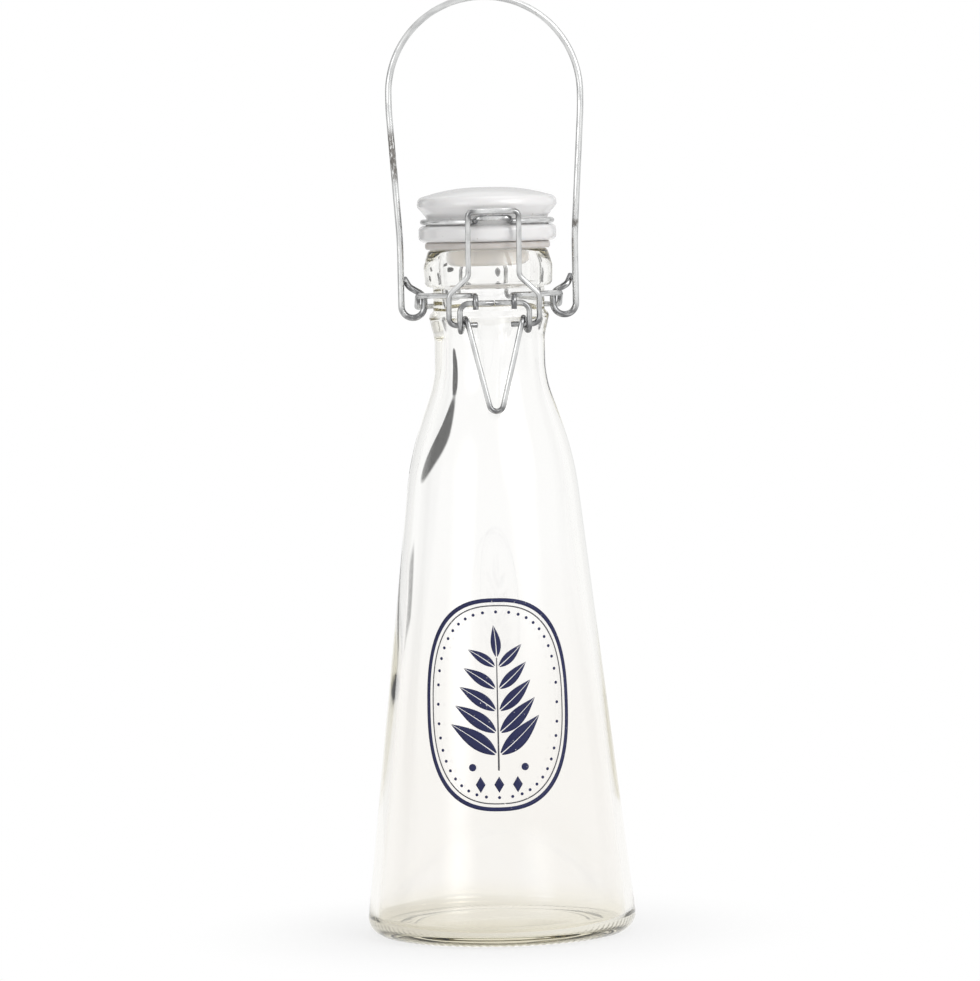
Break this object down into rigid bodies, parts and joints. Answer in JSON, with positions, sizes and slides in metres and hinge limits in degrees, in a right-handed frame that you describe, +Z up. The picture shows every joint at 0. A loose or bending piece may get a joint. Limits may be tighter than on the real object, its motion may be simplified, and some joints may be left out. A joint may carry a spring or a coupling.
{
  "type": "milk bottle",
  "caption": "Tapered glass milk bottle with a clip-top porcelain lid, silicone gasket, bent-wire lever closure and an arched wire carrying handle.",
  "frame": {"origin": "centre of the base, on the surface that the bottle stands on", "axes": "+Z up along the bottle's axis, -Y towards the closure's lever, X along the hinge axes of lid, lever, latch and handle"},
  "size_m": [0.0876, 0.0876, 0.3067],
  "materials": {
    "clear_glass": "clear, fire-polished",
    "white_porcelain": "white gloss glaze",
    "silicone": "translucent off-white",
    "zinc_wire": "zinc-plated drawn wire"
  },
  "bodies": {
    "bottle": {"glass_bottle": "clear_glass", "neck_wire": "zinc_wire"},
    "lid": {"lid": "white_porcelain", "gasket": "silicone", "lid_wire": "zinc_wire"},
    "lever": {"lever": "zinc_wire"},
    "latch": {"latch": "zinc_wire"},
    "handle": {"handle": "zinc_wire"}
  },
  "joints": [
    {"name": "lid_hinge", "type": "hinge", "parent": "bottle", "child": "lid", "pos_m": [0, 0.0244, 0.2164], "axis": [-1, 0, 0], "range_deg": [0, 120]},
    {"name": "lever_pivot", "type": "hinge", "parent": "bottle", "child": "lever", "pos_m": [0, -0.023, 0.2066], "axis": [-1, 0, 0], "range_deg": [0, 60]},
    {"name": "latch_pivot", "type": "hinge", "parent": "lever", "child": "latch", "pos_m": [0, -0.0209, 0.1996], "axis": [1, 0, 0], "range_deg": [0, 228]},
    {"name": "handle_swing", "type": "hinge", "parent": "bottle", "child": "handle", "pos_m": [0, 0, 0.2071], "axis": [-1, 0, 0], "range_deg": [-10, 80]}
  ],
  "couplings": [
    {"joint": "lever_pivot", "follows": "lid_hinge", "ratio": 0.5},
    {"joint": "latch_pivot", "follows": "lid_hinge", "ratio": 1.9}
  ]
}
